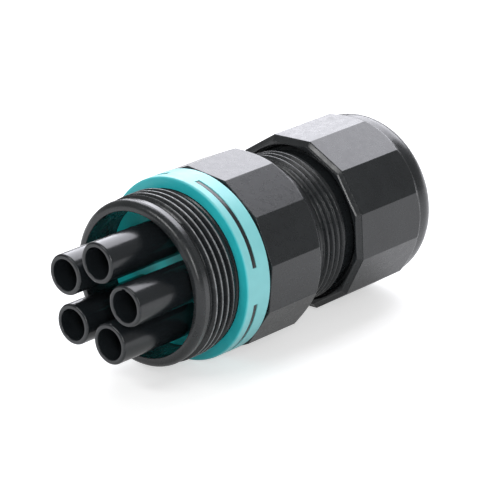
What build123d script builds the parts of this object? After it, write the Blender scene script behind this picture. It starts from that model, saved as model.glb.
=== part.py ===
from build123d import *
import math

# A sealed cable connector half with five poles: a threaded shell, a coloured seal ring, a contact insert
# and a cable gland. Millimetres and degrees. +X runs along the axis from the mating end to the cable end,
# +Z is up, and the origin lies on the axis in the plane of the shell's front rim. Angles round the axis
# start at +Z and grow towards -Y, which is the right-hand way about +X.

# Clearances
press_gap = 0.02            # between pieces that are pushed together for good
slide_gap = 0.08            # radial, between pieces that slide or turn in each other
seat_gap = 0.05             # between faces that seat on each other
free_gap = 0.3              # between pieces that only pass each other

# Front collar of the shell
mouth_radius = 15.0
mouth_round = 0.2
lip_wall = 2.0
lip_rise = 0.15             # of the lip's cone, from the rim back to the thread
lip_length = 2.75
lip_round = 1.75
front_thread_step = 0.15    # from the lip up to the thread's crests
front_thread_depth = 1.0
front_thread_pitch = 1.65
front_thread_turns = 4
crest_width = 0.2
ridge_width = 1.2
relief_length = 1.35

# Coloured seal ring
ring_seat_step = 0.3        # from the thread's root up to the ring's seat
ring_thickness = 2.45
ring_width = 6.5
ring_round = 0.5
slot_count = 4
slot_start = 13.0
slot_span = 67.0
slot_offset = 2.0
slot_width = 1.15
rib_recess = 0.15

# Twelve-sided body of the shell
side_count = 12
body_step = 0.41            # from the ring up to the body's corners
body_first_corner = 22.96
body_gap = 0.5
body_flat_length = 14.2
body_chamfer_length = 3.5
body_shoulder = 1.2         # from the rear thread's crests up to the end of the chamfer
body_rear_round = 0.6
corner_round = 0.35
collar_recess = 0.95        # of the collar behind the ring, under the ring's surface

# Threaded rear spigot of the shell
neck_length = 2.85
spigot_bore_radius = 13.4
spigot_wall = 1.8
rear_thread_depth = 0.8
rear_thread_pitch = 1.6
rear_thread_turns = 8
spigot_lead = 1.25
passage_step = 2.4          # of the seal's seat, from the spigot's bore in to the passage
passage_cone = 3.0

# Contact insert
floor_depth = 8.6
floor_thickness = 2.45
insert_seat_step = 0.9      # of the shell's seat behind the floor, from the mouth in to the cavity
insert_side_gap = 0.8
insert_wall = 1.2
lug_angle = 119.0
lug_width = 2.8
lug_length = 4.45

# Poles
pole_count = 5
first_pole_angle = -61.0
mouth_gap = 2.2             # between the sleeves and the mouth's wall
sleeve_gap = 1.678          # between neighbouring sleeves
sleeve_wall = 1.01
sleeve_reach = 12.2
sleeve_root = 5.4
sleeve_base = 1.5
sleeve_round = 0.45
bore_edge = 0.2
coded_pole = 3
notch_width = 0.9
notch_depth = 0.35
notch_length = 2.5
barrel_radius = 2.3
socket_radius = 1.6
contact_recess = 11.2
socket_depth = 10.0
slit_width = 0.4
slit_length = 8.0
slit_turn = 45.0            # of the slits, against the sides of the wire clamp
partition = 6.05

# Wire clamp at the back of each contact
clamp_width = 5.4
clamp_height = 6.0
clamp_length = 8.2
clamp_side_wall = 0.9
clamp_bottom_wall = 1.0
clamp_top_wall = 1.2
pad_thickness = 0.6
pad_length = 5.0
pad_side_gap = 0.15
screw_radius = 1.5
screw_length = 3.1
screw_slot_width = 0.5
screw_slot_depth = 0.7

# Cable gland
nut_wall = 2.75             # from the thread's crests out to the nut's corners
nut_first_corner = 15.0
nut_backed_off = 10.0
nut_stop_gap = 0.47
nut_flat_length = 18.1
nut_shoulder_drop = 0.8
nut_shoulder_length = 1.28
nut_rim_length = 0.6
nut_rim_step = 0.35
nut_rim_chamfer = 0.3
nut_mouth_chamfer = 0.6
nose_length = 7.5
nose_round = 5.0
nut_cone_step = 1.2         # of the shoulder, from the thread's crests in to the cone
nut_cone_drop = 2.0
nut_end_wall = 2.5
cable_hole_radius = 8.75
cable_hole_round = 0.8
flange_thickness = 1.35
pusher_length = 2.0
pusher_bore_radius = 8.9
seal_length = 8.45
seal_bore_radius = 7.5
seal_groove_depth = 0.7
seal_groove_count = 3
seal_chamfer = 0.6

# Radii, from the mouth outwards and from the spigot's bore outwards
lip_radius = mouth_radius + lip_wall
front_thread_radius = lip_radius + lip_rise + front_thread_step
ring_seat_radius = front_thread_radius - front_thread_depth + ring_seat_step
ring_radius = ring_seat_radius + ring_thickness
collar_radius = ring_radius - collar_recess
body_corner_radius = ring_radius + body_step
cavity_radius = mouth_radius - insert_seat_step
insert_radius = cavity_radius - insert_side_gap
passage_radius = spigot_bore_radius - passage_step
rear_thread_radius = spigot_bore_radius + spigot_wall + rear_thread_depth
chamfer_end_radius = rear_thread_radius + body_shoulder
nut_corner_radius = rear_thread_radius + nut_wall
nut_cone_radius = rear_thread_radius - nut_cone_step
nut_cone_end_radius = nut_cone_radius - nut_cone_drop

# The sleeves share the mouth: each touches neither the wall nor its neighbours
half_pole_step = math.sin(math.pi / pole_count)
pole_pitch_radius = (mouth_radius - mouth_gap + sleeve_gap / 2) / (1 + half_pole_step)
sleeve_radius = mouth_radius - mouth_gap - pole_pitch_radius
sleeve_bore_radius = sleeve_radius - sleeve_wall

# Places along the axis
front_first_crest = lip_length + front_thread_pitch
front_thread_end = front_first_crest + (front_thread_turns - 1) * front_thread_pitch + ridge_width / 2
ring_front = front_thread_end + relief_length
ring_rear = ring_front + ring_width
body_front = ring_rear + body_gap
body_corner_end = body_front + body_flat_length
body_rear = body_corner_end + body_chamfer_length
rear_first_crest = body_rear + neck_length + ridge_width / 2
rear_thread_end = rear_first_crest + (rear_thread_turns - 1) * rear_thread_pitch + ridge_width / 2
spigot_end = rear_thread_end + spigot_lead
insert_seat = floor_depth + floor_thickness + seat_gap
nut_front = body_rear + nut_stop_gap + nut_backed_off
nut_corner_end = nut_front + nut_flat_length
nut_rear = nut_corner_end + nose_length
flange_front = spigot_end + free_gap + nut_backed_off
nut_shoulder = flange_front + flange_thickness + seat_gap
pusher_front = flange_front - pusher_length
seal_rear = pusher_front - nut_backed_off - free_gap
seal_seat = seal_rear - seal_length - seat_gap
sleeve_end = floor_depth + sleeve_root
pocket_front = sleeve_end + partition
clamp_front = pocket_front + seat_gap
clamp_rear = clamp_front + clamp_length
insert_rear = clamp_rear + insert_wall

# Radial places of the wire clamp, measured from the connector's axis
clamp_bottom = pole_pitch_radius - clamp_height / 2
clamp_top = clamp_bottom + clamp_height
chamber_bottom = clamp_bottom + clamp_bottom_wall
chamber_top = clamp_top - clamp_top_wall
pad_top = chamber_top - seat_gap
screw_tip = pad_top + press_gap
screw_station = (clamp_front + clamp_side_wall + clamp_rear) / 2


def outline(points):
    """A flat face beside the axis, from (station, radius) pairs."""
    return make_face(Polyline(*[(station, 0, radius) for station, radius in points], close=True))


def turned(points):
    """A solid of revolution about X from its half outline."""
    return revolve(outline(points), Axis.X, revolution_arc=360)


def sector(points, start, span):
    """A part of a turned ring, from one angle on, over a span."""
    return Rot(start, 0, 0) * revolve(outline(points), Axis.X, revolution_arc=span)


def band(front, rear, inner, outer):
    """The half outline of a plain ring."""
    return [(front, inner), (rear, inner), (rear, outer), (front, outer)]


def rod(front, rear, radius, height=0.0):
    """A plain bar along X, its middle at a height over the axis."""
    return Pos((front + rear) / 2, 0, height) * Rot(0, 90, 0) * Cylinder(radius, rear - front)


def block(front, rear, width, bottom, top):
    """A box along X, centred sideways, between two heights."""
    return Pos((front + rear) / 2, 0, (bottom + top) / 2) * Box(rear - front, width, top - bottom)


def prism(front, rear, corner_radius, first_corner):
    """A twelve-sided bar along X with slightly rounded corners."""
    step = 360 / side_count
    angles = [math.radians(first_corner + step * side) for side in range(side_count)]
    corners = [(front, -corner_radius * math.sin(angle), corner_radius * math.cos(angle)) for angle in angles]
    bar = extrude(make_face(Polyline(*corners, close=True)), amount=rear - front, dir=(1, 0, 0))
    return fillet(bar.edges().filter_by(Axis.X), corner_round)


def circles(part, station, radius):
    """The round edges of a part at one station and radius."""
    found = part.edges().filter_by(GeomType.CIRCLE)
    return found.filter_by(
        lambda edge: abs(edge.radius - radius) < 0.01 and abs(edge.arc_center.X - station) < 0.01
    )


def ridges(first_crest, turns, pitch, crest_radius, depth):
    """Outline points of thread ridges, front to back."""
    points = []
    for turn in range(turns):
        crest = first_crest + turn * pitch
        points += [
            (crest - ridge_width / 2, crest_radius - depth),
            (crest - crest_width / 2, crest_radius),
            (crest + crest_width / 2, crest_radius),
            (crest + ridge_width / 2, crest_radius - depth),
        ]
    return points


def slot_starts():
    """The angles at which the ring's slots start."""
    return [slot_start + 360 / slot_count * slot for slot in range(slot_count)]


def make_shell():
    """One moulding: threaded collar, ring seat with ribs, twelve-sided body and threaded spigot."""
    front_root = front_thread_radius - front_thread_depth
    rear_root = rear_thread_radius - rear_thread_depth
    outside = [(0, 0), (0, lip_radius), (lip_length, lip_radius + lip_rise)]
    outside += ridges(
        front_first_crest, front_thread_turns, front_thread_pitch, front_thread_radius, front_thread_depth
    )
    outside += [
        (ring_front - relief_length / 2, front_root),
        (ring_front - relief_length / 4, ring_seat_radius),
        (ring_rear + seat_gap, ring_seat_radius),
        (ring_rear + seat_gap, collar_radius),
        (body_front + body_gap, collar_radius),
        (body_front + body_gap, rear_root),
    ]
    outside += ridges(
        rear_first_crest, rear_thread_turns, rear_thread_pitch, rear_thread_radius, rear_thread_depth
    )
    outside += [
        (spigot_end - spigot_lead / 2, rear_root),
        (spigot_end, rear_root - spigot_lead / 2),
        (spigot_end, 0),
    ]
    shell = turned(outside)

    chamfer_end = body_rear - body_rear_round
    envelope = [
        (body_front, 0),
        (body_front, body_corner_radius),
        (body_corner_end, body_corner_radius),
        (chamfer_end, chamfer_end_radius),
        (body_rear, chamfer_end_radius - body_rear_round),
        (body_rear, 0),
    ]
    body = prism(body_front, body_rear, body_corner_radius, body_first_corner) & turned(envelope)
    shell = shell + body

    rib_front = ring_front + slot_offset + seat_gap
    rib_rear = rib_front + slot_width - 2 * seat_gap
    rib_angle_gap = math.degrees(seat_gap / ring_radius)
    for start in slot_starts():
        rib = band(rib_front, rib_rear, ring_seat_radius - seat_gap, ring_radius - rib_recess)
        shell = shell + sector(rib, start + rib_angle_gap, slot_span - 2 * rib_angle_gap)

    hollow = [
        (-1, 0),
        (-1, mouth_radius),
        (insert_seat, mouth_radius),
        (insert_seat, cavity_radius),
        (body_rear - passage_cone, cavity_radius),
        (body_rear, passage_radius),
        (seal_seat, passage_radius),
        (seal_seat, spigot_bore_radius),
        (spigot_end + 1, spigot_bore_radius),
        (spigot_end + 1, 0),
    ]
    shell = shell - turned(hollow)
    lug_room = block(
        insert_seat - 1,
        insert_seat + lug_length + free_gap,
        lug_width + 2 * slide_gap,
        cavity_radius - 1,
        mouth_radius,
    )
    shell = shell - Rot(lug_angle, 0, 0) * lug_room
    shell = fillet(circles(shell, 0, mouth_radius), mouth_round)
    return fillet(circles(shell, 0, lip_radius), lip_round)


def make_seal_ring():
    """The coloured ring, with long slots that the shell's ribs fill."""
    ring = turned(band(ring_front, ring_rear, ring_seat_radius + press_gap, ring_radius))
    ring = fillet(circles(ring, ring_front, ring_radius), ring_round)
    slot_front = ring_front + slot_offset
    for start in slot_starts():
        slot = band(slot_front, slot_front + slot_width, ring_seat_radius - 1, ring_radius + 1)
        ring = ring - sector(slot, start, slot_span)
    return ring


def make_insert():
    """The contact insert: a floor with five sleeve bores and a block that holds the contacts."""
    insert = turned(
        [
            (floor_depth, 0),
            (floor_depth, mouth_radius - slide_gap),
            (insert_seat - seat_gap, mouth_radius - slide_gap),
            (insert_seat - seat_gap, insert_radius),
            (insert_rear, insert_radius),
            (insert_rear, 0),
        ]
    )
    lug = block(
        insert_seat - seat_gap,
        insert_seat + lug_length - seat_gap,
        lug_width,
        insert_radius - 1,
        mouth_radius - 2 * slide_gap,
    )
    insert = insert + Rot(lug_angle, 0, 0) * lug
    pocket_width = clamp_width + 2 * press_gap
    for angle in pole_angles():
        room = rod(floor_depth - 1, sleeve_end, sleeve_radius + press_gap, pole_pitch_radius)
        room = room + rod(sleeve_end - 1, pocket_front + 1, barrel_radius + press_gap, pole_pitch_radius)
        room = room + block(
            pocket_front, insert_rear + 1, pocket_width, clamp_bottom - press_gap, clamp_top + press_gap
        )
        room = room + Pos(screw_station, 0, clamp_top + insert_radius / 2) * Cylinder(
            screw_radius + slide_gap * 2, insert_radius
        )
        insert = insert - Rot(angle, 0, 0) * room
    return insert


def pole_angles():
    """The angle of each pole round the axis."""
    return [first_pole_angle + 360 / pole_count * pole for pole in range(pole_count)]


def make_sleeve(coded):
    """A touch-proof sleeve with a rounded tip and a closed base round the contact."""
    sleeve = turned(band(-sleeve_reach, sleeve_end, sleeve_bore_radius, sleeve_radius))
    sleeve = fillet(circles(sleeve, -sleeve_reach, sleeve_radius), sleeve_round)
    sleeve = chamfer(circles(sleeve, -sleeve_reach, sleeve_bore_radius), bore_edge)
    base = band(sleeve_end - sleeve_base, sleeve_end, barrel_radius + press_gap, sleeve_bore_radius + press_gap)
    sleeve = sleeve + turned(base)
    if coded:
        notch = block(
            -sleeve_reach - 1,
            -sleeve_reach + notch_length,
            notch_width,
            sleeve_bore_radius - 1,
            sleeve_bore_radius + notch_depth,
        )
        # The notch points up, so it turns back by the pole's own angle
        sleeve = sleeve - Rot(-pole_angles()[coded_pole - 1], 0, 0) * notch
    return Pos(0, 0, pole_pitch_radius) * sleeve


def make_contact():
    """A socket contact: a slit barrel in front and a wire clamp behind, in one piece."""
    barrel_front = contact_recess - sleeve_reach
    contact = rod(barrel_front, clamp_front + clamp_side_wall, barrel_radius, pole_pitch_radius)
    contact = contact + block(clamp_front, clamp_rear, clamp_width, clamp_bottom, clamp_top)
    contact = contact - rod(barrel_front - 1, barrel_front + socket_depth, socket_radius, pole_pitch_radius)
    reach = barrel_radius + 1
    for turn in (slit_turn, slit_turn + 90):
        slit = block(barrel_front - 1, barrel_front + slit_length, slit_width, -reach, reach)
        contact = contact - Pos(0, 0, pole_pitch_radius) * Rot(turn, 0, 0) * slit
    chamber_width = clamp_width - 2 * clamp_side_wall
    contact = contact - block(
        clamp_front + clamp_side_wall, clamp_rear + 1, chamber_width, chamber_bottom, chamber_top
    )
    tapped = Pos(screw_station, 0, clamp_top) * Cylinder(screw_radius + slide_gap, 2 * clamp_top_wall + 1)
    return contact - tapped


def make_pad():
    """The leaf between the screw and the wire."""
    width = clamp_width - 2 * clamp_side_wall - 2 * pad_side_gap
    return block(
        screw_station - pad_length / 2, screw_station + pad_length / 2, width, pad_top - pad_thickness, pad_top
    )


def make_screw():
    """A headless clamp screw with a driver slot."""
    screw = Pos(screw_station, 0, screw_tip + screw_length / 2) * Cylinder(screw_radius, screw_length)
    top = screw_tip + screw_length
    reach = screw_radius + 1
    slot = block(
        screw_station - reach, screw_station + reach, screw_slot_width, top - screw_slot_depth, top + 1
    )
    return screw - slot


def make_cable_seal():
    """The rubber bush that is squeezed onto the cable, with grooves in its bore."""
    front = seal_seat + seat_gap
    outer = spigot_bore_radius - seat_gap
    step = seal_length / seal_groove_count
    inside = []
    for groove in range(seal_groove_count):
        start = front + groove * step
        inside += [(start, seal_bore_radius), (start + step / 2, seal_bore_radius + seal_groove_depth)]
    inside.append((front + seal_length, seal_bore_radius))
    outside = [
        (front + seal_length, outer - seal_chamfer),
        (front + seal_length - seal_chamfer, outer),
        (front, outer),
    ]
    return turned(inside + outside)


def make_pressure_ring():
    """The slip ring inside the nut that pushes on the cable seal."""
    flange = rear_thread_radius
    nose = spigot_bore_radius - free_gap
    return turned(
        [
            (pusher_front, pusher_bore_radius + flange_thickness),
            (pusher_front, nose),
            (flange_front, nose),
            (flange_front, flange),
            (flange_front + flange_thickness, flange),
            (flange_front + flange_thickness, pusher_bore_radius),
            (pusher_front + flange_thickness, pusher_bore_radius),
        ]
    )


def make_nut():
    """The gland nut: twelve flats, a stepped front rim and a round nose with the cable hole."""
    flat_radius = nut_corner_radius * math.cos(math.pi / side_count)
    nose_radius = nut_corner_radius - nut_shoulder_drop
    shoulder_end = nut_corner_end + nut_shoulder_length
    rim_end = nut_front + nut_rim_length
    rim_corner_radius = (flat_radius - nut_rim_step) / math.cos(math.pi / side_count)
    rim = prism(nut_front, rim_end, rim_corner_radius, nut_first_corner)
    rim = chamfer(rim.faces().sort_by(Axis.X)[0].edges(), nut_rim_chamfer)
    envelope = [
        (rim_end, 0),
        (rim_end, nut_corner_radius),
        (nut_corner_end, nut_corner_radius),
        (shoulder_end, nose_radius),
        (shoulder_end, 0),
    ]
    flats = prism(rim_end, shoulder_end, nut_corner_radius, nut_first_corner) & turned(envelope)
    nose = turned(band(nut_corner_end, nut_rear, 0, nose_radius))
    nose = fillet(circles(nose, nut_rear, nose_radius), nose_round)
    nut = rim + flats + nose
    bore = rear_thread_radius + slide_gap
    wall_front = nut_rear - nut_end_wall
    hollow = [
        (nut_front - 1, 0),
        (nut_front - 1, bore + nut_mouth_chamfer + 1),
        (nut_front + nut_mouth_chamfer, bore),
        (nut_shoulder, bore),
        (nut_shoulder, nut_cone_radius),
        (wall_front, nut_cone_end_radius),
        (wall_front, cable_hole_radius),
        (nut_rear + 1, cable_hole_radius),
        (nut_rear + 1, 0),
    ]
    nut = nut - turned(hollow)
    return fillet(circles(nut, nut_rear, cable_hole_radius), cable_hole_round)


def save(name, part):
    """Writes one piece to its own file."""
    export_step(part, f"parts/{name}.step")
    print(name, round(part.volume, 1))


save("connector_shell", make_shell())
save("seal_ring", make_seal_ring())
save("contact_insert", make_insert())
save("cable_seal", make_cable_seal())
save("pressure_ring", make_pressure_ring())
save("gland_nut", make_nut())
for pole, angle in enumerate(pole_angles(), start=1):
    place = Rot(angle, 0, 0)
    save(f"contact_sleeve_{pole}", place * make_sleeve(pole == coded_pole))
    save(f"socket_contact_{pole}", place * make_contact())
    save(f"wire_pad_{pole}", place * make_pad())
    save(f"clamp_screw_{pole}", place * make_screw())
print("length", round(nut_rear + sleeve_reach, 2))
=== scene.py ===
import math

import bmesh
import bpy
import numpy as np
from mathutils import Matrix, Vector


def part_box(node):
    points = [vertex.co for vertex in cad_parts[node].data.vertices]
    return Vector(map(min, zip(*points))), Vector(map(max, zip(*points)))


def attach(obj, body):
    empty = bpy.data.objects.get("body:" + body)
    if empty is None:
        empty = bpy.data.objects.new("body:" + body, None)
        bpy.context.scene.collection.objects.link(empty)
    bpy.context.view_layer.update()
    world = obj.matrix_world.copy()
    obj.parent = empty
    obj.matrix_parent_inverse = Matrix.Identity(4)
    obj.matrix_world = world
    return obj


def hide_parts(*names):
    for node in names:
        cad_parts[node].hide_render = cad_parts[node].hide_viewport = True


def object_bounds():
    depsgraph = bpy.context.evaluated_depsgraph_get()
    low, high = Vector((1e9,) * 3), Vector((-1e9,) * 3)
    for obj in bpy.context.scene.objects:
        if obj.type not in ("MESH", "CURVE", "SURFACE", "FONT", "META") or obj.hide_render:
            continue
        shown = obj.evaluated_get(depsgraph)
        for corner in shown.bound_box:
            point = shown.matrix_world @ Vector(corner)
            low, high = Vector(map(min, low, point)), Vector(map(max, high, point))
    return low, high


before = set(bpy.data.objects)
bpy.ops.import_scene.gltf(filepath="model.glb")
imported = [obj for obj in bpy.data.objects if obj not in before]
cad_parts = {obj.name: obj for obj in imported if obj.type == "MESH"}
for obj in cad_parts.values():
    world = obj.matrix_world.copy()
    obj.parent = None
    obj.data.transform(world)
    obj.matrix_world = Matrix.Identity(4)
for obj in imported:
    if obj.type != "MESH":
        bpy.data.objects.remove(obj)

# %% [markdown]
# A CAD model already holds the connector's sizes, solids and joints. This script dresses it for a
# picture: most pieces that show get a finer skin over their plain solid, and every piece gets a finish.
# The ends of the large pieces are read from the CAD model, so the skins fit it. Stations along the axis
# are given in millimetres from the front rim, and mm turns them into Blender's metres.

cad_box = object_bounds()
mm = 0.001

# %% [markdown]
# The camera comes first, because everything else is judged through it. The photograph is a product
# shot from far away with a long lens: the connector's parallel edges hardly run together. A camera can
# be placed by eye, or worked out from things in the picture whose true shape is known. Here the circles
# of the rims and the corners of the two twelve-sided bodies were used, so the angles rest on known shapes.
# The target is the point that lands in the middle of the picture, and a small roll tips the whole frame.

# %% Camera
camera_azimuth = math.radians(-46.83)
camera_elevation = math.radians(18.954)
camera_roll = math.radians(-2.81)
camera_distance = 0.5501
camera_target = Vector((0.00602, -0.02247, 0.01209))
camera_lens = 216.1


def place_camera():
    """A camera at the photograph's angle, looking at the target."""
    data = bpy.data.cameras.new("camera")
    data.sensor_width = 36
    data.lens = camera_lens
    data.clip_start = 0.01
    data.dof.use_dof = False
    camera = bpy.data.objects.new("camera", data)
    bpy.context.scene.collection.objects.link(camera)
    backward = Vector(
        (
            math.sin(camera_azimuth) * math.cos(camera_elevation),
            -math.cos(camera_azimuth) * math.cos(camera_elevation),
            math.sin(camera_elevation),
        )
    )
    right = Vector((0, 0, 1)).cross(backward).normalized()
    up = backward.cross(right)
    level = Matrix((right, up, backward)).transposed()
    turn = Matrix.Rotation(camera_roll, 3, "Z")
    place = Matrix.Translation(camera_target + backward * camera_distance)
    camera.matrix_world = place @ (level @ turn).to_4x4()
    bpy.context.scene.camera = camera
    return camera


camera = place_camera()
print("camera at", [round(value, 3) for value in camera.location])

# %% [markdown]
# Glossy black plastic is mostly seen by what it reflects, so the lights are soft, and their places decide
# which flats are bright. In the photograph the flats that face up are nearly white and the ones that face
# the camera are nearly black. That is one big soft box high behind the connector, which the upper flats
# mirror. No flat can mirror what stands on the camera's side, so two narrow boxes there leave them dark:
# they draw thin lines on bevels and rounded edges, and light the coloured pieces inside the mouth.

# %% Lights
scene_middle = Vector((0.030, 0, 0))


def soft_box(name, direction, distance, width, height, radiance, tint=(1, 1, 1)):
    """A rectangular lamp that faces the connector. Its power follows from how bright its face looks."""
    data = bpy.data.lights.new(name, "AREA")
    data.color = tint
    data.shape = "RECTANGLE"
    data.size = width
    data.size_y = height
    data.energy = radiance * math.pi * width * height
    lamp = bpy.data.objects.new(name, data)
    bpy.context.scene.collection.objects.link(lamp)
    away = Vector(direction).normalized()
    lamp.location = scene_middle + away * distance
    lamp.rotation_euler = away.to_track_quat("Z", "Y").to_euler()
    return lamp


cool_white = (0.93, 0.93, 1.0)
back_box = soft_box("back_soft_box", (0.66, 0.40, 0.64), 0.75, 0.80, 0.75, 4.9, cool_white)
side_strip = soft_box("side_strip", (-0.55, -0.70, 0.35), 0.80, 0.10, 0.36, 16.0)
front_box = soft_box("front_soft_box", (-0.75, 0.09, 0.64), 0.80, 0.45, 0.12, 11.0)
print("lamps in W:", [round(lamp.data.energy, 2) for lamp in (back_box, side_strip, front_box)])

# %% [markdown]
# The connector lies on a plain pale table. A floor that is only lit white turns grey towards the edges of
# the picture, and raising the lamps until it is white would wash out the connector too. So the floor
# glows for the camera, which brings it to white, and the lamps still draw the soft shadow on it. In
# reflections it glows less, so that the lowest flats mirror the shadow that they stand in.

# %% Floor and surroundings
floor_gap = 0.1 * mm
floor_height = cad_box[0][2] - floor_gap
floor_reach = 3.0
floor_shade = 0.78
floor_glow = 0.55
mirrored_glow = 0.32
world_level = 0.34


def pale_floor():
    """A plain pale floor that the camera sees as nearly white."""
    mesh = bpy.data.meshes.new("floor")
    signs = [(-1, -1), (1, -1), (1, 1), (-1, 1)]
    corners = [(x * floor_reach, y * floor_reach, floor_height) for x, y in signs]
    mesh.from_pydata(corners, [], [(0, 1, 2, 3)])
    floor = bpy.data.objects.new("floor", mesh)
    bpy.context.scene.collection.objects.link(floor)
    material = bpy.data.materials.new("floor_white")
    material.use_nodes = True
    nodes, links = material.node_tree.nodes, material.node_tree.links
    nodes.clear()
    output = nodes.new("ShaderNodeOutputMaterial")
    diffuse = nodes.new("ShaderNodeBsdfDiffuse")
    diffuse.inputs["Color"].default_value = (floor_shade, floor_shade, floor_shade, 1)
    glow = nodes.new("ShaderNodeEmission")
    path = nodes.new("ShaderNodeLightPath")
    mirrored = nodes.new("ShaderNodeMath")
    mirrored.operation = "MULTIPLY"
    mirrored.inputs[1].default_value = mirrored_glow
    strength = nodes.new("ShaderNodeMath")
    strength.operation = "MULTIPLY_ADD"
    strength.inputs[1].default_value = floor_glow
    add = nodes.new("ShaderNodeAddShader")
    links.new(path.outputs["Is Glossy Ray"], mirrored.inputs[0])
    links.new(path.outputs["Is Camera Ray"], strength.inputs[0])
    links.new(mirrored.outputs[0], strength.inputs[2])
    links.new(strength.outputs[0], glow.inputs["Strength"])
    links.new(diffuse.outputs[0], add.inputs[0])
    links.new(glow.outputs[0], add.inputs[1])
    links.new(add.outputs[0], output.inputs["Surface"])
    mesh.materials.append(material)
    return floor


def studio_world():
    """Weak even light from all round, and white where the camera looks past the floor."""
    world = bpy.data.worlds.new("studio")
    bpy.context.scene.world = world
    world.use_nodes = True
    nodes, links = world.node_tree.nodes, world.node_tree.links
    nodes.clear()
    output = nodes.new("ShaderNodeOutputWorld")

    def background(level):
        node = nodes.new("ShaderNodeBackground")
        node.inputs["Color"].default_value = (1, 1, 1, 1)
        node.inputs["Strength"].default_value = level
        return node

    dim = background(world_level)
    white = background(1)
    path = nodes.new("ShaderNodeLightPath")
    mix = nodes.new("ShaderNodeMixShader")
    links.new(path.outputs["Is Camera Ray"], mix.inputs["Fac"])
    links.new(dim.outputs[0], mix.inputs[1])
    links.new(white.outputs[0], mix.inputs[2])
    links.new(mix.outputs[0], output.inputs["Surface"])


pale_floor()
studio_world()
bpy.context.scene.view_settings.view_transform = "Standard"
print("floor at", round(floor_height / mm, 2), "mm")

# %% [markdown]
# The finish is moulded plastic. The mould of such a part is spark-eroded, which leaves a grain of about
# a tenth of a millimetre that softens reflections, and the melt's flow leaves faint clouds in the gloss.
# Both are made from noise in the object's own space, so they stay on the surface from any side. Fine
# grain goes into the bump, broad clouds into the roughness and the colour.

# %% Plastic finishes
grain_scale, grain_depth, grain_strength = 7000, 0.01 * mm, 0.14
cloud_scale = 160


def two_shades(nodes, dark, light, dark_up_to=0.35, light_from=0.65):
    """A colour ramp that turns noise into a mix of two shades."""
    ramp = nodes.new("ShaderNodeValToRGB")
    ramp.color_ramp.elements[0].position = dark_up_to
    ramp.color_ramp.elements[0].color = (*dark, 1)
    ramp.color_ramp.elements[1].position = light_from
    ramp.color_ramp.elements[1].color = (*light, 1)
    return ramp


def moulded(name, dark, light, rough_low, rough_high):
    """A moulded plastic: clouded colour and gloss, and a fine grain in the surface."""
    material = bpy.data.materials.new(name)
    material.use_nodes = True
    nodes, links = material.node_tree.nodes, material.node_tree.links
    shader = nodes["Principled BSDF"]
    place = nodes.new("ShaderNodeTexCoord")

    def noise(scale, detail):
        node = nodes.new("ShaderNodeTexNoise")
        node.inputs["Scale"].default_value = scale
        node.inputs["Detail"].default_value = detail
        links.new(place.outputs["Object"], node.inputs["Vector"])
        return node

    clouds = noise(cloud_scale, 3)
    colour = two_shades(nodes, dark, light)
    links.new(clouds.outputs["Fac"], colour.inputs["Fac"])
    links.new(colour.outputs["Color"], shader.inputs["Base Color"])

    gloss = noise(cloud_scale * 4, 4)
    rough = nodes.new("ShaderNodeMapRange")
    rough.inputs["From Min"].default_value = 0.3
    rough.inputs["From Max"].default_value = 0.7
    rough.inputs["To Min"].default_value = rough_low
    rough.inputs["To Max"].default_value = rough_high
    links.new(gloss.outputs["Fac"], rough.inputs["Value"])
    links.new(rough.outputs["Result"], shader.inputs["Roughness"])

    fine = noise(grain_scale, 2)
    relief = nodes.new("ShaderNodeBump")
    relief.inputs["Strength"].default_value = grain_strength
    relief.inputs["Distance"].default_value = grain_depth
    links.new(fine.outputs["Fac"], relief.inputs["Height"])
    links.new(relief.outputs["Normal"], shader.inputs["Normal"])
    return material


body_black = moulded("body_black", (0.0120, 0.0140, 0.0155), (0.0160, 0.0185, 0.0200), 0.24, 0.32)
sleeve_black = moulded("sleeve_black", (0.0105, 0.0130, 0.0150), (0.0135, 0.0165, 0.0185), 0.17, 0.23)
# The ring's pale band colour holds a painted sheen as well as the ring's own teal.
ring_teal = moulded("ring_teal", (0.24, 0.66, 0.68), (0.27, 0.71, 0.73), 0.36, 0.46)
insert_teal = moulded("insert_teal", (0.020, 0.68, 0.68), (0.026, 0.74, 0.74), 0.30, 0.40)
seal_black = moulded("seal_black", (0.016, 0.016, 0.017), (0.024, 0.024, 0.025), 0.60, 0.75)
print("plastics ready")

# %% [markdown]
# The coloured ring is a soft seal. Its outer band is pale, and its front face, which the mating half presses
# on, is given a deeper and purer colour. That split is painted light: the pale band's colour holds a painted
# sheen, and the front face's deeper colour is painted shade. One material can hold both: a second colour is
# mixed in by the place along the axis, read from the object's own coordinates, and it fades out over the
# rounded edge.

# %% Painted shade on the ring's front face
def paint_face_shade(material, dark, light, full_at, gone_at):
    """Mixes a second clouded colour, painted shade, into a finish, full at one station and gone at another.
    """
    nodes, links = material.node_tree.nodes, material.node_tree.links
    shader = nodes["Principled BSDF"]
    band = shader.inputs["Base Color"].links[0].from_node
    front = two_shades(nodes, dark, light)
    links.new(band.inputs["Fac"].links[0].from_socket, front.inputs["Fac"])
    place = nodes.new("ShaderNodeTexCoord")
    split = nodes.new("ShaderNodeSeparateXYZ")
    links.new(place.outputs["Object"], split.inputs["Vector"])
    share = nodes.new("ShaderNodeMapRange")
    share.interpolation_type = "SMOOTHSTEP"
    share.inputs["From Min"].default_value = full_at
    share.inputs["From Max"].default_value = gone_at
    links.new(split.outputs["X"], share.inputs["Value"])
    mix = nodes.new("ShaderNodeMix")
    mix.data_type = "RGBA"
    links.new(share.outputs["Result"], mix.inputs[0])
    links.new(front.outputs["Color"], mix.inputs[6])
    links.new(band.outputs["Color"], mix.inputs[7])
    links.new(mix.outputs[2], shader.inputs["Base Color"])


ring_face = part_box("seal_ring")[0].x
# Painted shade: the deeper teal that the ring's front face gets.
painted_shade_dark, painted_shade_light = (0.013, 0.46, 0.50), (0.018, 0.51, 0.55)
paint_face_shade(ring_teal, painted_shade_dark, painted_shade_light, ring_face - 0.05 * mm, ring_face + 0.40 * mm)
print("ring face at", round(ring_face / mm, 1), "mm")
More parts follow.
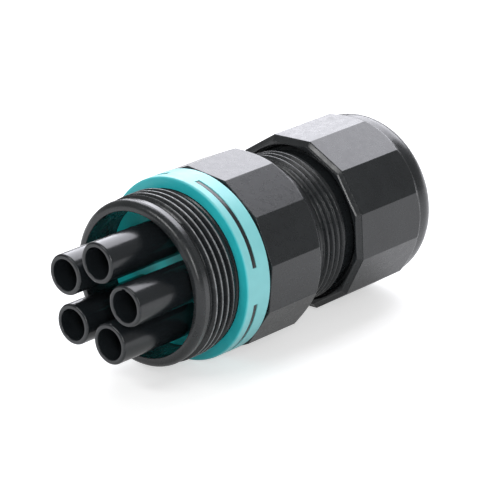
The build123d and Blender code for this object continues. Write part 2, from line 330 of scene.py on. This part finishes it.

# %% [markdown]
# The crests of the coupling thread show as thin light lines, and these are a painted highlight. The colour
# is mixed in by two measures: how far a point is from the axis, which picks out the crests, and its place
# along the axis, which keeps the rest of the moulding black. Noise breaks the lines up a little.

# %% Painted highlights on the thread's crests
glint_depth, glint_inset = 0.09 * mm, 0.01 * mm
patch_scale = 700


def paint_crest_glints(material, glint_colour, crest_radius, middle, reach):
    """Paints a highlight, a lighter colour, on what stands as far out as the crests, near one station."""
    nodes, links = material.node_tree.nodes, material.node_tree.links
    shader = nodes["Principled BSDF"]
    plain = shader.inputs["Base Color"].links[0].from_socket
    place = nodes.new("ShaderNodeTexCoord")
    across = nodes.new("ShaderNodeVectorMath")
    across.operation = "MULTIPLY"
    across.inputs[1].default_value = (0, 1, 1)
    links.new(place.outputs["Object"], across.inputs[0])
    radius = nodes.new("ShaderNodeVectorMath")
    radius.operation = "LENGTH"
    links.new(across.outputs["Vector"], radius.inputs[0])
    height = nodes.new("ShaderNodeMapRange")
    height.interpolation_type = "SMOOTHSTEP"
    height.inputs["From Min"].default_value = crest_radius - glint_depth
    height.inputs["From Max"].default_value = crest_radius - glint_inset
    links.new(radius.outputs["Value"], height.inputs["Value"])
    split = nodes.new("ShaderNodeSeparateXYZ")
    links.new(place.outputs["Object"], split.inputs["Vector"])
    along = nodes.new("ShaderNodeMath")
    along.operation = "COMPARE"
    along.inputs[1].default_value = middle
    along.inputs[2].default_value = reach
    links.new(split.outputs["X"], along.inputs[0])
    patches = nodes.new("ShaderNodeTexNoise")
    patches.inputs["Scale"].default_value = patch_scale
    links.new(place.outputs["Object"], patches.inputs["Vector"])
    here = nodes.new("ShaderNodeMath")
    here.operation = "MULTIPLY"
    links.new(height.outputs["Result"], here.inputs[0])
    links.new(along.outputs[0], here.inputs[1])
    share = nodes.new("ShaderNodeMath")
    share.operation = "MULTIPLY"
    links.new(here.outputs[0], share.inputs[0])
    links.new(patches.outputs["Fac"], share.inputs[1])
    mix = nodes.new("ShaderNodeMix")
    mix.data_type = "RGBA"
    mix.inputs[7].default_value = (*glint_colour, 1)
    links.new(share.outputs[0], mix.inputs[0])
    links.new(plain, mix.inputs[6])
    links.new(mix.outputs[2], shader.inputs["Base Color"])


front_root, front_crest, front_pitch = 16.3, 17.3, 1.65
crests_middle, crests_reach = 7.0, 3.4
# Painted highlight: the light grey of the crest lines on the front thread.
paint_crest_glints(body_black, (0.42, 0.43, 0.44), front_crest * mm, crests_middle * mm, crests_reach * mm)
print("crests at", front_crest, "mm from the axis")

# %% [markdown]
# Nearly every piece is turned or moulded round the axis, so one tool makes them all: a net of rows and
# columns wrapped round X. A row is a station along the outline, a column is an angle. Where a piece is
# round, a row has one radius. Where it has flats, the radius changes from column to column, and the same
# net still holds. A plain cylinder with a modifier would be quicker, but it couldn't carry flats, slots
# and a screw thread in one skin.

# %% Tools for turned pieces
sharp_angle = math.radians(38)
merge_distance, tiny_edge = 0.0004 * mm, 0.00001 * mm


def around(angle, radius):
    """The place across the axis at an angle from straight up, growing towards -Y."""
    return (-radius * math.sin(angle), radius * math.cos(angle))


def rounded(points, steps=4):
    """A closed outline of (station, radius, corner rounding) with its corners replaced by short arcs."""
    result = []
    count = len(points)
    for index in range(count):
        here = Vector(points[index][:2])
        size = points[index][2] if len(points[index]) > 2 else 0
        before = Vector(points[index - 1][:2]) - here
        after = Vector(points[(index + 1) % count][:2]) - here
        if size <= 0:
            result.append(tuple(here))
            continue
        half = before.angle(after) / 2
        reach = min(size / math.tan(half), 0.98 * before.length, 0.98 * after.length)
        start = here + before.normalized() * reach
        end = here + after.normalized() * reach
        middle = here + (before.normalized() + after.normalized()).normalized() * reach / math.cos(half)
        sweep = math.pi - 2 * half
        for step in range(steps + 1):
            share = step / steps
            near = math.sin((1 - share) * sweep) / math.sin(sweep)
            far = math.sin(share * sweep) / math.sin(sweep)
            result.append(tuple(middle + (start - middle) * near + (end - middle) * far))
    return result


def skin(name, rows, angles, material):
    """A closed net of (station, radius) rows wrapped round X, with the last row joined to the first."""
    net = np.array(rows, float)
    turn = np.array(angles, float)
    row_count, column_count = net.shape[:2]
    points = np.stack([net[..., 0], -net[..., 1] * np.sin(turn), net[..., 1] * np.cos(turn)], -1)
    faces = []
    for row in range(row_count):
        below = row * column_count
        above = ((row + 1) % row_count) * column_count
        for column in range(column_count - 1):
            faces.append((below + column, below + column + 1, above + column + 1, above + column))
    mesh = bpy.data.meshes.new(name)
    mesh.from_pydata(points.reshape(-1, 3).tolist(), [], faces)
    work = bmesh.new()
    work.from_mesh(mesh)
    bmesh.ops.remove_doubles(work, verts=work.verts, dist=merge_distance)
    bmesh.ops.dissolve_degenerate(work, edges=work.edges, dist=tiny_edge)
    bmesh.ops.recalc_face_normals(work, faces=work.faces)
    work.to_mesh(mesh)
    work.free()
    mesh.shade_smooth()
    mesh.set_sharp_from_angle(angle=sharp_angle)
    mesh.materials.append(material)
    piece = bpy.data.objects.new(name, mesh)
    bpy.context.scene.collection.objects.link(piece)
    weigh = piece.modifiers.new("even_flats", "WEIGHTED_NORMAL")
    weigh.keep_sharp = True
    weigh.weight = 60
    print(name, len(mesh.polygons), "faces")
    return piece


def even_columns(count):
    """Column angles for a round piece, the first one repeated at the end to close it."""
    return [2 * math.pi * column / count for column in range(count + 1)]


def round_rows(points, angles):
    """Rows with the same station and radius in every column."""
    return [[point] * len(angles) for point in points]


def turned_piece(name, outline, material, columns=128):
    """A round piece from its closed outline in millimetres."""
    angles = even_columns(columns)
    points = [(x * mm, r * mm) for x, r in rounded(outline)]
    return skin(name, round_rows(points, angles), angles, material)


print("turning tools ready")

# %% [markdown]
# The body and the nut are twelve-sided. A flat is nothing else than a radius that grows towards the
# corners, so a function gives the radius at every angle, and it rounds the corner itself with a small
# arc. The columns crowd together at the corners, where the surface turns fast, and are far apart on the
# flats, where it doesn't.

# %% Tools for twelve-sided pieces
sides, flat_parts = 12, 12
corner_arc, arc_margin = 0.35 * mm, 1.15
half_side = math.pi / sides


def side_columns(first_corner, corner_radius, extra=()):
    """Column angles for a twelve-sided piece, with close columns round each corner."""
    arc_half = corner_arc * math.sin(half_side) / corner_radius * arc_margin
    near = [-arc_half, -arc_half / 2, 0, arc_half / 2, arc_half]
    between = [2 * half_side * part / flat_parts for part in range(1, flat_parts)]
    angles = []
    for side in range(sides):
        corner = first_corner + 2 * half_side * side
        angles += [corner + offset for offset in near] + [corner + offset for offset in between]
    angles += list(extra)
    start = first_corner - arc_half
    return sorted(angles) + [start + 2 * math.pi]


def side_radius(angle, first_corner, corner_radius):
    """The radius of a rounded twelve-sided bar at an angle."""
    off = (angle - first_corner) % (2 * half_side)
    off = min(off, 2 * half_side - off)
    flat = corner_radius * math.cos(half_side) / math.cos(half_side - off)
    centre = corner_radius - corner_arc / math.cos(half_side)
    limit = math.atan2(corner_arc * math.sin(half_side), centre + corner_arc * math.cos(half_side))
    if off >= limit:
        return flat
    return centre * math.cos(off) + math.sqrt(corner_arc**2 - (centre * math.sin(off)) ** 2)


print("a corner stands", round(100 / math.cos(half_side) - 100, 1), "% further out than a flat")

# %% [markdown]
# The two outside threads are real screws. A ridge that runs round level, ring by ring, is simpler and
# looks nearly the same, but its ends would be wrong: a real thread starts out of the plain collar and runs
# out into the groove. So the rows lean: each one climbs by one pitch in a turn, and its end meets the
# start of the row one turn on. At both ends the rows are held at the last station, where they pile up
# and are merged. One ridge is given as its rising half, in shares of the pitch and of the depth, and the
# falling half mirrors it.

# %% Tool for screw threads
rising = [(0.00, 0.00), (0.10, 0.00), (0.15, 0.04), (0.19, 0.17), (0.35, 0.80), (0.395, 0.95), (0.44, 1.00)]
falling = [(1 - share, height) for share, height in reversed(rising[1:])]
thread_outline = rising + [(0.50, 1.00)] + falling
fade_turns = 0.55


def thread_rows(start, end, root, crest, pitch, angles):
    """Leaning rows of a thread between two stations, faded in and out at its ends."""
    turns = math.ceil((end - start) / pitch) + 1
    fade = fade_turns * pitch
    rows = []
    for turn in range(turns + 1):
        for share, height in thread_outline:
            row = []
            for angle in angles:
                station = start + (turn - 1 + share) * pitch + pitch * (angle - angles[0]) / (2 * math.pi)
                station = min(max(station, start), end)
                near_end = min((station - start) / fade, (end - station) / fade, 1)
                rise = near_end * near_end * (3 - 2 * near_end)
                row.append((station, root + (crest - root) * height * rise))
            rows.append(row)
    return rows


print("points in a ridge:", len(thread_outline))

# %% [markdown]
# The shell is one black moulding, and the largest piece. From the front it has a lip like a bead, which
# carries the long soft highlight at the top, then the coupling thread, the seat of the coloured ring, the
# twelve-sided body, and the spigot with the gland thread. Its outline goes on round the end of the spigot
# and back through the bore to the lip, so the skin is closed. The flats end where a cone cuts them, later
# in their middle than at the corners, which gives each flat its curved end. The gland thread runs out
# before the nut, where the photograph shows a plain dark band, and goes on under the nut.

# %% Shell sizes
ring_low, ring_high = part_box("seal_ring")
ring_front = ring_low.x / mm
ring_rear = ring_high.x / mm
ring_radius = ring_high.z / mm
spigot_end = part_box("connector_shell")[1].x / mm
small_edge = 0.1
lip_radius, lip_crown, lip_length, mouth_radius = 17.0, 0.1, 2.75, 15.0
front_thread_start, front_thread_end = lip_length + 0.45, 10.1
ring_seat_radius, collar_radius = 16.6, 18.1
body_corner_radius, body_first_corner = 19.46, math.radians(22.96)
body_front, body_corner_end, body_rear = ring_rear + 0.5, ring_rear + 14.7, ring_rear + 18.2
body_cone_end_radius, body_rear_radius, rear_round = 17.2, 16.5, 0.6
flat_edge = 0.15
rear_root, rear_crest, rear_pitch = 15.2, 16.0, 1.6
rear_thread_start, rear_turns, rear_gap_turns = body_rear + 1.95, 4.6, 6
rear_thread = (rear_thread_start, rear_thread_start + rear_turns * rear_pitch)
hidden_thread = (rear_thread_start + rear_gap_turns * rear_pitch, spigot_end - 0.9)
lead_in, lead_in_drop = 0.6, 0.55
spigot_bore, passage_radius, cavity_radius = 13.4, 11.0, 14.1
passage_front = body_rear - 3.0
insert_seat = 11.1
seal_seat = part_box("cable_seal")[0].x / mm - 0.05
lug_angle, lug_half, lug_end = math.radians(119), 1.5, 15.9
print("shell:", round(spigot_end, 1), "mm long, ring", round(ring_radius * 2, 1), "mm across")


# %% Shell
def shell_columns():
    """The body's columns, and two close pairs at the sides of the lug's slot."""
    half = math.asin(lug_half / cavity_radius)
    edges = [lug_angle - half - 0.002, lug_angle - half, lug_angle + half, lug_angle + half + 0.002]
    return side_columns(body_first_corner, body_corner_radius * mm, edges)


def body_rows(angles):
    """The twelve flats, from the front edge to where the rear cone cuts them."""
    slope = (body_rear - rear_round - body_corner_end) / (body_corner_radius - body_cone_end_radius)
    radii = [side_radius(angle, body_first_corner, body_corner_radius * mm) / mm for angle in angles]
    rows = [
        [(body_front, radius - flat_edge) for radius in radii],
        [(body_front + flat_edge / 3, radius - flat_edge / 3) for radius in radii],
        [(body_front + flat_edge, radius) for radius in radii],
    ]
    cuts = [body_corner_end + (body_corner_radius - radius) * slope for radius in radii]
    rows.append([(cut - 0.22, radius) for cut, radius in zip(cuts, radii)])
    rows.append([(cut - 0.02, radius - 0.03) for cut, radius in zip(cuts, radii)])
    rows.append([(cut + 0.18, radius - 0.18 / slope) for cut, radius in zip(cuts, radii)])
    return rows


def lug_rows(angles):
    """The bore between insert seat and cavity, with the slot that the insert's lug slides in."""
    half = math.asin(lug_half / cavity_radius) + 0.0001
    inside = [abs(angle - lug_angle) <= half for angle in angles]
    deep = [mouth_radius if slot else cavity_radius for slot in inside]
    return [[(lug_end, radius) for radius in deep], [(insert_seat, radius) for radius in deep]]


def make_shell():
    """The whole shell as one closed skin."""
    angles = shell_columns()

    def flat_rows(points):
        return round_rows(points, angles)

    lip = rounded(
        [
            (2.0, mouth_radius),
            (0, mouth_radius, 0.2),
            (0, lip_radius, 1.4),
            (lip_length / 2, lip_radius + lip_crown, 1.2),
            (lip_length, lip_radius - lip_crown, 0.3),
            (front_thread_start - 0.05, front_root + 0.02, 0.1),
            (front_thread_start, front_root),
        ],
        8,
    )
    rows = flat_rows(lip[1:-1])
    rows += thread_rows(front_thread_start, front_thread_end, front_root, front_crest, front_pitch, angles)
    rows += flat_rows(
        [
            (ring_front - 0.45, front_root),
            (ring_front - 0.25, ring_seat_radius),
            (ring_rear + 0.05, ring_seat_radius),
            (ring_rear + 0.05, collar_radius),
            (body_front, collar_radius),
        ]
    )
    rows += body_rows(angles)
    rows += flat_rows(
        rounded(
            [
                (body_rear - 0.9, body_cone_end_radius + 0.2),
                (body_rear, body_rear_radius, rear_round),
                (body_rear, rear_root, 0.25),
                (body_rear + 1.5, rear_root),
            ]
        )[1:]
    )
    for start, end in (rear_thread, hidden_thread):
        rows += thread_rows(start, end, rear_root, rear_crest, rear_pitch, angles)
    rows += flat_rows(
        [
            (spigot_end - small_edge - lead_in, rear_root),
            (spigot_end - small_edge, rear_root - lead_in_drop),
            (spigot_end, rear_root - lead_in_drop - 2 * small_edge),
            (spigot_end, spigot_bore + small_edge),
            (spigot_end - small_edge, spigot_bore),
            (seal_seat, spigot_bore),
            (seal_seat, passage_radius),
            (body_rear, passage_radius),
            (passage_front, cavity_radius),
            (lug_end + 0.05, cavity_radius),
        ]
    )
    rows += lug_rows(angles)
    rows += flat_rows([(insert_seat, mouth_radius), (2.0, mouth_radius)])
    return skin("shell_moulding", np.array(rows) * mm, angles, body_black)


shell = make_shell()

# %% [markdown]
# The coloured ring sits in its seat between the thread and the body. Four long slots run round it, and
# thin black ribs of the shell stand in them, nearly level with its surface. The slots could be cut with a
# boolean, but that leaves long thin faces that shade badly. In the net they are simply rows whose radius
# drops in the columns between two angles.

# %% Coloured ring and the ribs in its slots
first_slot, slots = 13, 4
slot_angles = [math.radians(first_slot + 360 / slots * slot) for slot in range(slots)]
slot_span = math.radians(67)
slot_front, slot_rear = ring_front + 2.0, ring_front + 3.15
slot_edge, slot_floor_radius = 0.06, ring_seat_radius + 0.1
slot_end_step, slot_wall_step = 0.0012, 0.00001
ring_inner_radius = ring_seat_radius + 0.02
rib_gap, rib_steps = 0.05, 48
rib_root_radius, rib_radius = ring_seat_radius - 0.2, ring_radius - 0.15


def in_slot(angle):
    """Whether an angle lies in one of the slots."""
    return any(0 <= (angle - start) % (2 * math.pi) <= slot_span for start in slot_angles)


def make_ring():
    """The coloured ring with its four slots."""
    angles = even_columns(240)[:-1]
    for start in slot_angles:
        for edge, side in ((start, -1), (start + slot_span, 1)):
            angles += [edge + side * slot_end_step, edge + side * slot_wall_step, edge]
    angles = sorted(angle % (2 * math.pi) for angle in angles)
    angles.append(angles[0] + 2 * math.pi)
    deep = [slot_floor_radius if in_slot(angle) else ring_radius for angle in angles]
    soft = [ring_radius - slot_edge if in_slot(angle) else ring_radius for angle in angles]
    front = rounded(
        [
            (ring_rear, ring_seat_radius),
            (ring_front, ring_inner_radius, 0.15),
            (ring_front, ring_radius, 0.5),
            (slot_front, ring_radius),
        ],
        6,
    )
    rows = round_rows(front[1:-1], angles)
    rows += round_rows([(slot_front - slot_edge, ring_radius)], angles)
    rows.append([(slot_front, radius) for radius in soft])
    rows.append([(slot_front, radius) for radius in deep])
    rows.append([(slot_rear, radius) for radius in deep])
    rows.append([(slot_rear, radius) for radius in soft])
    rows += round_rows([(slot_rear + slot_edge, ring_radius)], angles)
    rear = [(slot_rear + 0.3, ring_radius), (ring_rear, ring_radius, 0.2), (ring_rear, ring_inner_radius)]
    rows += round_rows(rounded(rear)[1:], angles)
    return skin("coloured_ring", np.array(rows) * mm, angles, ring_teal)


def make_ribs():
    """The shell's black ribs, one closed bar in each slot."""
    end_gap = rib_gap / ring_radius
    points, faces = [], []
    section = rounded(
        [
            (slot_front + rib_gap, rib_root_radius),
            (slot_rear - rib_gap, rib_root_radius),
            (slot_rear - rib_gap, rib_radius, 0.1),
            (slot_front + rib_gap, rib_radius, 0.1),
        ],
        3,
    )
    count = len(section)
    for start in slot_angles:
        base = len(points)
        for step in range(rib_steps + 1):
            angle = start + end_gap + (slot_span - 2 * end_gap) * step / rib_steps
            points += [(x * mm, *[value * mm for value in around(angle, r)]) for x, r in section]
        for step in range(rib_steps):
            for corner in range(count):
                a = base + step * count + corner
                b = base + step * count + (corner + 1) % count
                faces.append((a, b, b + count, a + count))
        faces.append([base + corner for corner in reversed(range(count))])
        faces.append([base + rib_steps * count + corner for corner in range(count)])
    mesh = bpy.data.meshes.new("ring_ribs")
    mesh.from_pydata(points, [], faces)
    work = bmesh.new()
    work.from_mesh(mesh)
    bmesh.ops.recalc_face_normals(work, faces=work.faces)
    work.to_mesh(mesh)
    work.free()
    mesh.shade_smooth()
    mesh.set_sharp_from_angle(angle=sharp_angle)
    mesh.materials.append(body_black)
    piece = bpy.data.objects.new("ring_ribs", mesh)
    bpy.context.scene.collection.objects.link(piece)
    print("ring_ribs", len(mesh.polygons), "faces")
    return piece


coloured_ring = make_ring()
ribs = make_ribs()

# %% [markdown]
# The gland nut is backed off from the body, so some turns of the gland thread show in front of it. It has
# the same kind of flats as the body, turned by a few degrees, a sloping rim at the front that ends in a
# shallow step, and a round nose at the back. The rim's front edge has a narrow bevel, which draws the bright line in the photograph.
# Inside, a short cone opens the mouth, a plain bore runs over the thread to a shoulder, and behind that a
# second cone leads to the cable's hole.

# %% Gland nut
nut_corner_radius, nut_first_corner = 18.75, math.radians(15)
nut_low, nut_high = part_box("gland_nut")
nut_front, nut_rear = nut_low.x / mm, nut_high.x / mm
rim_front, rim_end = nut_front - 0.25, nut_front + 0.6
nut_corner_end = nut_front + 18.1
nose_radius, nose_round, nose_cone = 17.95, 5.0, 1.28
nut_bore, nut_shoulder = rear_crest + 0.08, 64.2
mouth_end, mouth_flare = nut_front + 1.6, 0.6
shoulder_inner, cone_end_radius = 14.8, 12.8
cable_hole_radius, end_wall = 8.75, 2.5


def make_nut():
    """The gland nut as one closed skin."""
    angles = side_columns(nut_first_corner, nut_corner_radius * mm)
    radii = [side_radius(angle, nut_first_corner, nut_corner_radius * mm) / mm for angle in angles]
    mouth = rounded(
        [
            (nut_shoulder, nut_bore),
            (mouth_end, nut_bore, 0.3),
            (rim_front, nut_bore + mouth_flare, 0.1),
            (rim_front, 17.0),
        ]
    )
    rows = round_rows(mouth[1:-1], angles)
    rim = [
        (rim_front, -1.12), (rim_front + 0.04, -1.06), (rim_front + 0.06, -1.04), (rim_front + 0.28, -0.86),
        (rim_front + 0.30, -0.84), (rim_end - 0.06, -0.17), (rim_end - 0.03, -0.14), (rim_end, -0.13),
        (rim_end + 0.01, -0.04), (rim_end + 0.10, 0),
    ]
    for station, step in rim:
        rows.append([(station, radius + step) for radius in radii])
    slope = nose_cone / (nut_corner_radius - nose_radius)
    cuts = [nut_corner_end + (nut_corner_radius - radius) * slope for radius in radii]
    rows.append([(cut - 0.2, radius) for cut, radius in zip(cuts, radii)])
    rows.append([(cut - 0.02, radius - 0.03) for cut, radius in zip(cuts, radii)])
    rows.append([(cut + 0.1, radius - 0.1 / slope) for cut, radius in zip(cuts, radii)])
    nose = rounded(
        [
            (nut_corner_end + 1.0, nose_radius + 0.2),
            (nut_corner_end + 1.35, nose_radius, 0.2),
            (nut_rear, nose_radius, nose_round),
            (nut_rear, cable_hole_radius, 0.8),
            (nut_rear - end_wall, cable_hole_radius, 0.3),
            (nut_rear - end_wall, cone_end_radius, 0.5),
            (nut_shoulder, shoulder_inner, 0.2),
            (nut_shoulder, nut_bore),
        ],
        10,
    )
    rows += round_rows(nose[1:], angles)
    return skin("nut_moulding", np.array(rows) * mm, angles, body_black)


nut = make_nut()

# %% [markdown]
# Five black sleeves stand on the insert's floor and reach out of the mouth. Each one keeps fingers off
# the live contact inside it. The tip has a flat ring face with a small round at its outer edge, which is
# the bright line near each end in the photograph. One sleeve has a notch in the top of its bore, the mark
# of one pole.

# %% Sleeves
first_pole, poles = -61, 5
pole_angles = [math.radians(first_pole + 360 / poles * pole) for pole in range(poles)]
pole_radius = 8.59
sleeve_outer, sleeve_bore, sleeve_contact = 4.21, 3.2, 2.32
sleeve_low, sleeve_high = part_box("contact_sleeve_1")
sleeve_tip, sleeve_end, sleeve_floor = sleeve_low.x / mm, sleeve_high.x / mm, 1.5
coded_pole, notch_half_width, notch_depth, notch_length, notch_wall_step = 3, 0.45, 0.35, 0.5, 0.01


def make_sleeve(pole):
    """One sleeve, turned about its own middle and then moved out to its pole."""
    notch_half = notch_half_width / sleeve_bore
    outside_notch = notch_half + notch_wall_step
    extra = [-outside_notch, -notch_half, notch_half, outside_notch] if pole == coded_pole else []
    angles = even_columns(96)[:-1] + [angle % (2 * math.pi) for angle in extra]
    angles = sorted(angles)
    angles.append(angles[0] + 2 * math.pi)
    outline = rounded(
        [
            (sleeve_end, sleeve_contact),
            (sleeve_end, sleeve_outer, 0.1),
            (sleeve_tip, sleeve_outer, 0.45),
            (sleeve_tip, sleeve_bore, 0.2),
            (sleeve_end - sleeve_floor, sleeve_bore, 0.1),
            (sleeve_end - sleeve_floor, sleeve_contact),
        ],
        5,
    )
    rows = []
    for station, radius in outline:
        at_notch = pole == coded_pole and station < sleeve_tip + notch_length
        in_bore = radius < (sleeve_bore + sleeve_outer) / 2
        row = []
        for angle in angles:
            off = min(angle % (2 * math.pi), -angle % (2 * math.pi))
            notched = at_notch and in_bore and off <= notch_half + 1e-6
            row.append((station, max(radius, sleeve_bore + notch_depth) if notched else radius))
        rows.append(row)
    sleeve = skin(f"sleeve_{pole}", np.array(rows) * mm, angles, sleeve_black)
    side, height = around(pole_angles[pole - 1], pole_radius * mm)
    sleeve.data.transform(Matrix.Translation((0, side, height)))
    return sleeve


sleeves = [make_sleeve(pole) for pole in range(1, poles + 1)]

# %% [markdown]
# Behind the nut's hole one sees the rubber bush and the slip ring that presses on it. They are round all
# over, so each is one closed outline turned about the axis.

# %% Cable seal and pressure ring
seal_low, seal_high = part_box("cable_seal")
push_low, push_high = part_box("pressure_ring")


def make_seal():
    """The rubber bush with three grooves in its bore."""
    front, rear = seal_low.x / mm, seal_high.x / mm
    outer, inner, bevel = 13.35, 7.5, 0.6
    grooves, groove = 3, 0.7
    step = (rear - front) / grooves
    inside = []
    for number in range(grooves):
        start = front + number * step
        inside += [(start, inner, 0.3), (start + step / 2, inner + groove, 0.4)]
    outside = [(rear, inner, 0.3), (rear, outer - bevel, 0.2)]
    outside += [(rear - bevel, outer, 0.2), (front, outer, 0.2)]
    return turned_piece("rubber_bush", inside + outside, seal_black)


def make_pusher():
    """The slip ring: a flange that the nut turns against, and a nose that reaches into the spigot."""
    front, rear = push_low.x / mm, push_high.x / mm
    bore, funnel = 8.9, 1.35
    nose, flange_radius, flange_length = 13.1, 16.0, 1.35
    flange = rear - flange_length
    outline = [
        (front, bore + funnel, 0.1),
        (front, nose, 0.2),
        (flange, nose, 0.1),
        (flange, flange_radius, 0.15),
        (rear, flange_radius, 0.15),
        (rear, bore, 0.3),
        (front + funnel, bore, 0.2),
    ]
    return turned_piece("slip_ring", outline, sleeve_black)


bush = make_seal()
slip_ring = make_pusher()

# %% [markdown]
# The contacts are turned from brass and plated, and the clamp screws are zinc-plated steel. Both are
# small and mostly hidden, so their CAD solids stay and only get a metal finish: fine turning lines
# from a noise stretched along one axis, and a slightly uneven shine.

# %% Metal finishes
line_scale, line_depth, line_strength = 900, 0.02 * mm, 0.2


def plated(name, dark, light, rough_low, rough_high, stretch):
    """A plated metal with fine lines that run one way."""
    material = bpy.data.materials.new(name)
    material.use_nodes = True
    nodes, links = material.node_tree.nodes, material.node_tree.links
    shader = nodes["Principled BSDF"]
    shader.inputs["Metallic"].default_value = 1
    place = nodes.new("ShaderNodeTexCoord")
    spread = nodes.new("ShaderNodeMapping")
    spread.inputs["Scale"].default_value = stretch
    links.new(place.outputs["Object"], spread.inputs["Vector"])
    lines = nodes.new("ShaderNodeTexNoise")
    lines.inputs["Scale"].default_value = line_scale
    lines.inputs["Detail"].default_value = 4
    links.new(spread.outputs["Vector"], lines.inputs["Vector"])
    colour = two_shades(nodes, dark, light, 0.3, 0.7)
    links.new(lines.outputs["Fac"], colour.inputs["Fac"])
    links.new(colour.outputs["Color"], shader.inputs["Base Color"])
    rough = nodes.new("ShaderNodeMapRange")
    rough.inputs["To Min"].default_value = rough_low
    rough.inputs["To Max"].default_value = rough_high
    links.new(lines.outputs["Fac"], rough.inputs["Value"])
    links.new(rough.outputs["Result"], shader.inputs["Roughness"])
    relief = nodes.new("ShaderNodeBump")
    relief.inputs["Strength"].default_value = line_strength
    relief.inputs["Distance"].default_value = line_depth
    links.new(lines.outputs["Fac"], relief.inputs["Height"])
    links.new(relief.outputs["Normal"], shader.inputs["Normal"])
    return material


plated_brass = plated("plated_brass", (0.60, 0.49, 0.26), (0.74, 0.62, 0.36), 0.22, 0.36, (4, 1, 1))
zinc_steel = plated("zinc_steel", (0.48, 0.49, 0.51), (0.62, 0.63, 0.65), 0.25, 0.4, (1, 1, 4))
print("metals ready")

# %% Finishes on the CAD pieces that stay
def finish(node, material):
    """Gives a CAD node its material."""
    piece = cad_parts[node]
    piece.data.materials.clear()
    piece.data.materials.append(material)


finish("contact_insert", insert_teal)
for pole in range(1, poles + 1):
    finish(f"socket_contact_{pole}", plated_brass)
    finish(f"wire_pad_{pole}", zinc_steel)
    finish(f"clamp_screw_{pole}", zinc_steel)
print("CAD pieces that stay:", 1 + 3 * poles)

# %% [markdown]
# Last, every piece is tied to the body that carries it, so that it follows the nut or the insert when
# they move, and takes the place of its plain CAD solid.

# %% What each piece stands for and rides on
dressed = [
    (shell, "shell", ["connector_shell"], "black_plastic"),
    (ribs, "shell", [], "black_plastic"),
    (coloured_ring, "shell", ["seal_ring"], "teal_ring"),
    (bush, "shell", ["cable_seal"], "black_rubber"),
    (slip_ring, "pressure_ring", ["pressure_ring"], "black_plastic"),
    (nut, "gland_nut", ["gland_nut"], "black_plastic"),
]
for pole, sleeve in enumerate(sleeves, start=1):
    dressed.append((sleeve, "insert", [f"contact_sleeve_{pole}"], "black_sleeve"))
for piece, body, nodes, slot in dressed:
    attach(piece, body)
    if nodes:
        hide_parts(*nodes)
print("pieces on bodies:", len(dressed))

# %% [markdown]
# The skins should fill the same box as the CAD model.

# %% Bring the scene up to date
bpy.context.view_layer.update()
